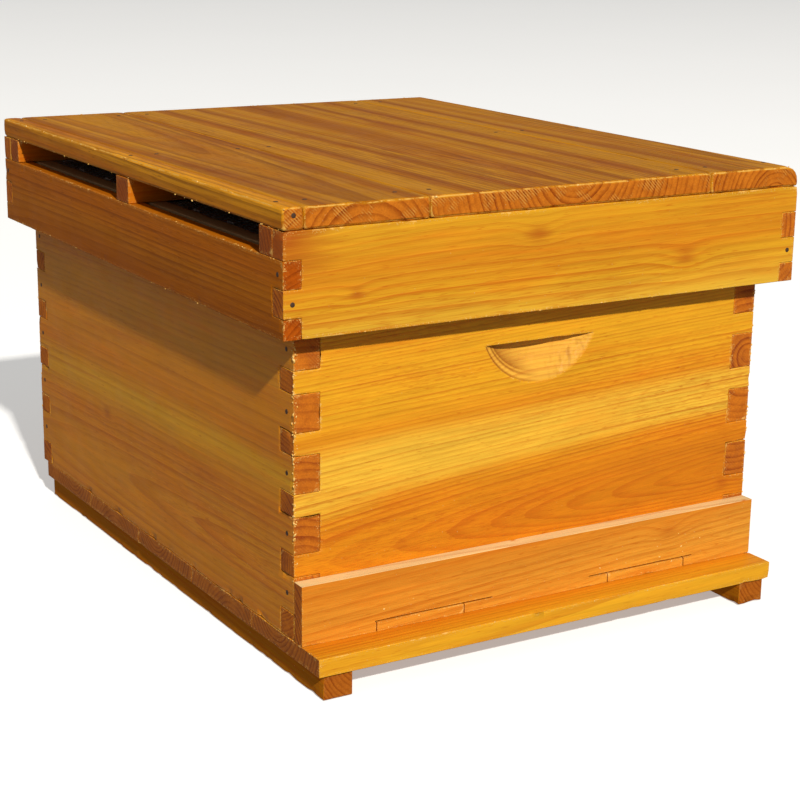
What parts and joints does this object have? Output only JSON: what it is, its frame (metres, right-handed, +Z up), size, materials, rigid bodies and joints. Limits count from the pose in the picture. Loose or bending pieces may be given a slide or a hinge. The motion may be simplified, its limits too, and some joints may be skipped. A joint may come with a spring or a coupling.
{
  "type": "beehive",
  "caption": "Wax-finished wooden beehive: finger-jointed brood box on a fixed floor with skids, hanging frames, screened inner cover and a telescoping vented lid.",
  "frame": {"origin": "on the ground, under the middle of the whole hive's box", "axes": "+Z up; -Y out of the entrance; +X to the hive's right as seen from the front; frames run along Y"},
  "size_m": [0.452, 0.569, 0.352],
  "materials": {
    "waxed_fir": "wax-boiled fir, satin, amber",
    "lid_fir": "wax-boiled fir, satin, amber to olive brown",
    "floor_fir": "wax-boiled fir, satin",
    "entrance_fir": "waxed fir, fresh-sawn top edge",
    "raw_pine": "planed, unfinished",
    "beeswax": "pressed beeswax foundation",
    "galvanised_wire": "zinc-coated wire",
    "nail_steel": "dull bright-steel nails"
  },
  "bodies": {
    "hive_box": {"box_front_board": "waxed_fir", "box_back_board": "waxed_fir", "box_left_board": "waxed_fir", "box_right_board": "waxed_fir", "box_nails": "nail_steel", "floor_plank_1": "floor_fir", "floor_plank_2": "floor_fir", "floor_plank_3": "floor_fir", "floor_plank_4": "floor_fir", "floor_plank_5": "floor_fir", "skid_left": "floor_fir", "skid_right": "floor_fir", "floor_nails": "nail_steel", "entrance_strip": "entrance_fir", "entrance_nails": "nail_steel"},
    "entrance_door_left": {"entrance_door_left": "entrance_fir"},
    "entrance_door_right": {"entrance_door_right": "entrance_fir"},
    "frame_01": {"frame_01_wood": "raw_pine", "frame_01_foundation": "beeswax"},
    "frame_02": {"frame_02_wood": "raw_pine", "frame_02_foundation": "beeswax"},
    "frame_03": {"frame_03_wood": "raw_pine", "frame_03_foundation": "beeswax"},
    "frame_04": {"frame_04_wood": "raw_pine", "frame_04_foundation": "beeswax"},
    "frame_05": {"frame_05_wood": "raw_pine", "frame_05_foundation": "beeswax"},
    "frame_06": {"frame_06_wood": "raw_pine", "frame_06_foundation": "beeswax"},
    "frame_07": {"frame_07_wood": "raw_pine", "frame_07_foundation": "beeswax"},
    "frame_08": {"frame_08_wood": "raw_pine", "frame_08_foundation": "beeswax"},
    "frame_09": {"frame_09_wood": "raw_pine", "frame_09_foundation": "beeswax"},
    "frame_10": {"frame_10_wood": "raw_pine", "frame_10_foundation": "beeswax"},
    "inner_cover": {"inner_cover_front_rail": "raw_pine", "inner_cover_back_rail": "raw_pine", "inner_cover_left_rail": "raw_pine", "inner_cover_right_rail": "raw_pine", "inner_cover_middle_rail": "raw_pine", "inner_cover_screen": "galvanised_wire", "inner_cover_staples": "galvanised_wire"},
    "lid": {"lid_front_board": "lid_fir", "lid_back_board": "lid_fir", "lid_left_board": "lid_fir", "lid_right_board": "lid_fir", "lid_front_batten": "lid_fir", "lid_middle_batten": "lid_fir", "lid_back_batten": "lid_fir", "lid_edge_strip": "lid_fir", "lid_top_plank_1": "lid_fir", "lid_top_plank_2": "lid_fir", "lid_top_plank_3": "lid_fir", "lid_nails": "nail_steel"}
  },
  "joints": [
    {"name": "entrance_door_left_pull", "type": "slide", "parent": "hive_box", "child": "entrance_door_left", "axis": [0, -1, 0], "range_m": [0, 0.02]},
    {"name": "entrance_door_right_pull", "type": "slide", "parent": "hive_box", "child": "entrance_door_right", "axis": [0, -1, 0], "range_m": [0, 0.02]},
    {"name": "frame_01_lift", "type": "slide", "parent": "hive_box", "child": "frame_01", "axis": [0, 0, 1], "range_m": [0, 0.27]},
    {"name": "frame_02_lift", "type": "slide", "parent": "hive_box", "child": "frame_02", "axis": [0, 0, 1], "range_m": [0, 0.27]},
    {"name": "frame_03_lift", "type": "slide", "parent": "hive_box", "child": "frame_03", "axis": [0, 0, 1], "range_m": [0, 0.27]},
    {"name": "frame_04_lift", "type": "slide", "parent": "hive_box", "child": "frame_04", "axis": [0, 0, 1], "range_m": [0, 0.27]},
    {"name": "frame_05_lift", "type": "slide", "parent": "hive_box", "child": "frame_05", "axis": [0, 0, 1], "range_m": [0, 0.27]},
    {"name": "frame_06_lift", "type": "slide", "parent": "hive_box", "child": "frame_06", "axis": [0, 0, 1], "range_m": [0, 0.27]},
    {"name": "frame_07_lift", "type": "slide", "parent": "hive_box", "child": "frame_07", "axis": [0, 0, 1], "range_m": [0, 0.27]},
    {"name": "frame_08_lift", "type": "slide", "parent": "hive_box", "child": "frame_08", "axis": [0, 0, 1], "range_m": [0, 0.27]},
    {"name": "frame_09_lift", "type": "slide", "parent": "hive_box", "child": "frame_09", "axis": [0, 0, 1], "range_m": [0, 0.27]},
    {"name": "frame_10_lift", "type": "slide", "parent": "hive_box", "child": "frame_10", "axis": [0, 0, 1], "range_m": [0, 0.27]},
    {"name": "inner_cover_lift", "type": "slide", "parent": "frame_01", "child": "inner_cover", "axis": [0, 0, 1], "range_m": [0, 0.12]},
    {"name": "lid_lift", "type": "slide", "parent": "inner_cover", "child": "lid", "axis": [0, 0, 1], "range_m": [0, 0.2]}
  ],
  "couplings": [
    {"joint": "frame_02_lift", "follows": "frame_01_lift", "ratio": 1},
    {"joint": "frame_03_lift", "follows": "frame_01_lift", "ratio": 1},
    {"joint": "frame_04_lift", "follows": "frame_01_lift", "ratio": 1},
    {"joint": "frame_05_lift", "follows": "frame_01_lift", "ratio": 1},
    {"joint": "frame_06_lift", "follows": "frame_01_lift", "ratio": 1},
    {"joint": "frame_07_lift", "follows": "frame_01_lift", "ratio": 1},
    {"joint": "frame_08_lift", "follows": "frame_01_lift", "ratio": 1},
    {"joint": "frame_09_lift", "follows": "frame_01_lift", "ratio": 1},
    {"joint": "frame_10_lift", "follows": "frame_01_lift", "ratio": 1}
  ]
}
